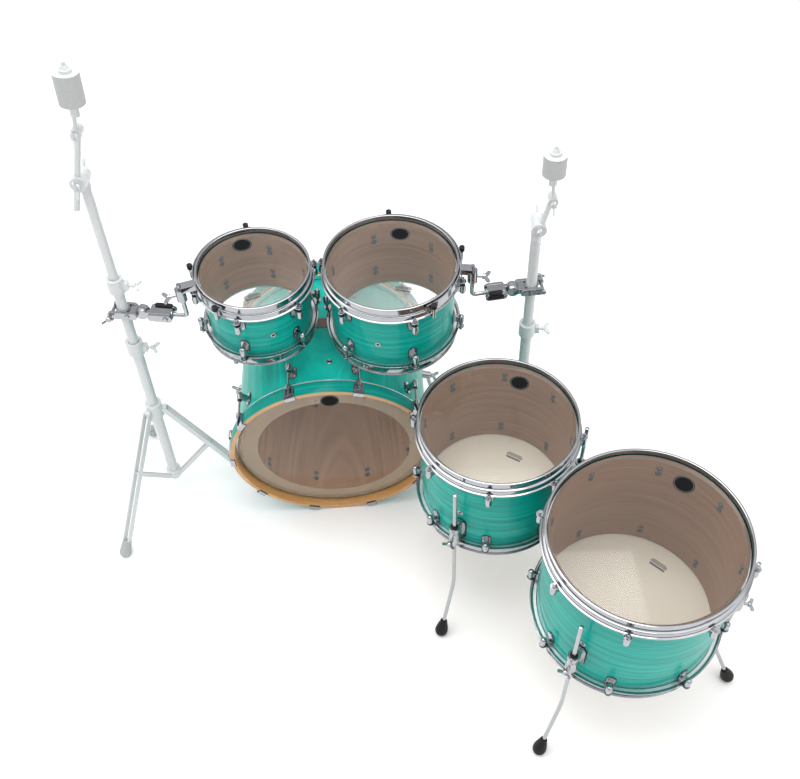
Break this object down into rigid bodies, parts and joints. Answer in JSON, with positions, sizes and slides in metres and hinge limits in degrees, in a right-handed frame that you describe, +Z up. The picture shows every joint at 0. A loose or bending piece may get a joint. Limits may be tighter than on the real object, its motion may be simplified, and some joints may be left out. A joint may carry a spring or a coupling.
{
  "type": "acoustic drum kit",
  "caption": "Acoustic drum kit with a bass drum, two rack toms hung from cymbal stands by clamped arms, and two floor toms on bent legs.",
  "frame": {"origin": "on the floor, under the middle of the kit in plan", "axes": "+X to the right as the drummer sits, +Y away from the drummer, +Z up"},
  "size_m": [1.6254, 1.1899, 1.3344],
  "materials": {
    "lacquered_shell": "gloss",
    "hoop_wood": "satin",
    "clear_head": "gloss",
    "coated_head": "matte",
    "badge": "gloss",
    "stand_metal": "satin",
    "stand_rubber": "matte",
    "chrome": "polished"
  },
  "bodies": {
    "kit": {"bass_badge": "badge", "bass_batter_head": "clear_head", "bass_claws": "chrome", "bass_front_head": "coated_head", "bass_hoops": "hoop_wood", "bass_lugs": "chrome", "bass_shell": "lacquered_shell", "bass_spur_brackets": "chrome", "bass_tension_rods": "chrome", "floor14_batter_head": "clear_head", "floor14_bottom_head": "coated_head", "floor14_hoops": "chrome", "floor14_shell": "lacquered_shell", "floor16_batter_head": "clear_head", "floor16_bottom_head": "coated_head", "floor16_hoops": "chrome", "floor16_shell": "lacquered_shell", "floor_tom_leg_brackets": "chrome", "floor_tom_lugs": "chrome", "floor_tom_tension_rods": "chrome", "floor_tom_wing_bolts": "chrome", "shell_vents": "chrome", "stand_base_tubes": "stand_metal", "stand_tripod_feet": "stand_rubber", "stand_tripod_legs": "stand_metal", "stand_tripod_struts": "stand_metal"},
    "bass_spur_left": {"bass_spur_left": "chrome"},
    "bass_spur_right": {"bass_spur_right": "chrome"},
    "floor14_leg_front": {"floor14_leg_front": "chrome"},
    "floor14_leg_rear": {"floor14_leg_rear": "chrome"},
    "floor14_leg_right": {"floor14_leg_right": "chrome"},
    "floor16_leg_front": {"floor16_leg_front": "chrome"},
    "floor16_leg_rear": {"floor16_leg_rear": "chrome"},
    "floor16_leg_right": {"floor16_leg_right": "chrome"},
    "holder_left_clamp": {"holder_left_clamp": "chrome"},
    "holder_left_jaw": {"holder_left_jaw": "chrome"},
    "holder_left_rod": {"holder_left_rod": "chrome"},
    "holder_right_clamp": {"holder_right_clamp": "chrome"},
    "holder_right_jaw": {"holder_right_jaw": "chrome"},
    "holder_right_rod": {"holder_right_rod": "chrome"},
    "stand_left_boom": {"stand_left_boom": "stand_metal"},
    "stand_left_middle_tube": {"stand_left_middle_tube": "stand_metal"},
    "stand_left_tilter": {"stand_left_tilter": "stand_metal"},
    "stand_left_upper_tube": {"stand_left_upper_tube": "stand_metal"},
    "stand_right_boom": {"stand_right_boom": "stand_metal"},
    "stand_right_tilter": {"stand_right_tilter": "stand_metal"},
    "stand_right_upper_tube": {"stand_right_upper_tube": "stand_metal"},
    "tom10": {"tom10_fittings": "chrome", "tom10_heads": "clear_head", "tom10_hoops": "chrome", "tom10_mount": "chrome", "tom10_shell": "lacquered_shell", "tom10_tension_rods": "chrome"},
    "tom12": {"tom12_fittings": "chrome", "tom12_heads": "clear_head", "tom12_hoops": "chrome", "tom12_mount": "chrome", "tom12_shell": "lacquered_shell", "tom12_tension_rods": "chrome"}
  },
  "joints": [
    {"name": "spur_left_fold", "type": "hinge", "parent": "kit", "child": "bass_spur_left", "pos_m": [-0.47946, 0.43574, 0.19967], "axis": [0.9497, 0.0358, 0.3112], "range_deg": [0, 60]},
    {"name": "spur_right_fold", "type": "hinge", "parent": "kit", "child": "bass_spur_right", "pos_m": [0.06565, 0.46519, 0.20114], "axis": [0.9497, 0.0668, -0.3061], "range_deg": [0, 60]},
    {"name": "floor14_leg_front_height", "type": "slide", "parent": "kit", "child": "floor14_leg_front", "axis": [0, 0, 1], "range_m": [0, 0.12]},
    {"name": "floor14_leg_right_height", "type": "slide", "parent": "kit", "child": "floor14_leg_right", "axis": [0, 0, 1], "range_m": [0, 0.12]},
    {"name": "floor14_leg_rear_height", "type": "slide", "parent": "kit", "child": "floor14_leg_rear", "axis": [0, 0, 1], "range_m": [0, 0.12]},
    {"name": "floor16_leg_front_height", "type": "slide", "parent": "kit", "child": "floor16_leg_front", "axis": [0, 0, 1], "range_m": [0, 0.12]},
    {"name": "floor16_leg_right_height", "type": "slide", "parent": "kit", "child": "floor16_leg_right", "axis": [0, 0, 1], "range_m": [0, 0.12]},
    {"name": "floor16_leg_rear_height", "type": "slide", "parent": "kit", "child": "floor16_leg_rear", "axis": [0, 0, 1], "range_m": [0, 0.12]},
    {"name": "stand_left_middle_height", "type": "slide", "parent": "kit", "child": "stand_left_middle_tube", "axis": [0.0349, 0.0436, 0.9984], "range_m": [0, 0.08]},
    {"name": "stand_left_upper_height", "type": "slide", "parent": "stand_left_middle_tube", "child": "stand_left_upper_tube", "axis": [0.0349, 0.0436, 0.9984], "range_m": [-0.05, 0.08]},
    {"name": "stand_left_boom_tilt", "type": "hinge", "parent": "stand_left_upper_tube", "child": "stand_left_boom", "pos_m": [-0.64656, 0.25887, 1.06686], "axis": [0, 0.999, -0.0436], "range_deg": [-35, 35]},
    {"name": "stand_left_tilter_tilt", "type": "hinge", "parent": "stand_left_boom", "child": "stand_left_tilter", "pos_m": [-0.61136, 0.25011, 1.1872], "axis": [0, 0.999, -0.0436], "range_deg": [-40, 40]},
    {"name": "stand_right_height", "type": "slide", "parent": "kit", "child": "stand_right_upper_tube", "axis": [0, 0, 1], "range_m": [0, 0.08]},
    {"name": "stand_right_boom_tilt", "type": "hinge", "parent": "stand_right_upper_tube", "child": "stand_right_boom", "pos_m": [0.3207, 0.2779, 0.9], "axis": [0, 1, 0], "range_deg": [-35, 35]},
    {"name": "stand_right_tilter_tilt", "type": "hinge", "parent": "stand_right_boom", "child": "stand_right_tilter", "pos_m": [0.3427, 0.2639, 0.983], "axis": [0, 1, 0], "range_deg": [-40, 40]},
    {"name": "holder_left_swing", "type": "hinge", "parent": "stand_left_middle_tube", "child": "holder_left_clamp", "pos_m": [-0.6595, 0.25468, 0.69591], "axis": [0.0349, 0.0436, 0.9984], "range_deg": [-30, 30]},
    {"name": "holder_left_ratchet", "type": "hinge", "parent": "holder_left_clamp", "child": "holder_left_jaw", "pos_m": [-0.61376, 0.25002, 0.69452], "axis": [-0.1, -0.9939, 0.0469], "range_deg": [-2, 30]},
    {"name": "holder_left_reach", "type": "slide", "parent": "holder_left_jaw", "child": "holder_left_rod", "axis": [0.9929, -0.1027, -0.0602], "range_m": [-0.016, 0]},
    {"name": "tom10_turn", "type": "hinge", "parent": "holder_left_rod", "child": "tom10", "pos_m": [-0.5063, 0.2389, 0.757], "axis": [0, 0, 1], "range_deg": [0, 45]},
    {"name": "holder_right_swing", "type": "hinge", "parent": "stand_right_upper_tube", "child": "holder_right_clamp", "pos_m": [0.3207, 0.2899, 0.703], "axis": [0, 0, 1], "range_deg": [-20, 8]},
    {"name": "holder_right_ratchet", "type": "hinge", "parent": "holder_right_clamp", "child": "holder_right_jaw", "pos_m": [0.27492, 0.28545, 0.703], "axis": [-0.0968, 0.9953, 0], "range_deg": [0, 8]},
    {"name": "holder_right_reach", "type": "slide", "parent": "holder_right_jaw", "child": "holder_right_rod", "axis": [-0.9928, -0.0965, -0.0708], "range_m": [-0.016, 0]},
    {"name": "tom12_turn", "type": "hinge", "parent": "holder_right_rod", "child": "tom12", "pos_m": [0.1767, 0.2759, 0.757], "axis": [0, 0, 1], "range_deg": [-45, 12]}
  ]
}
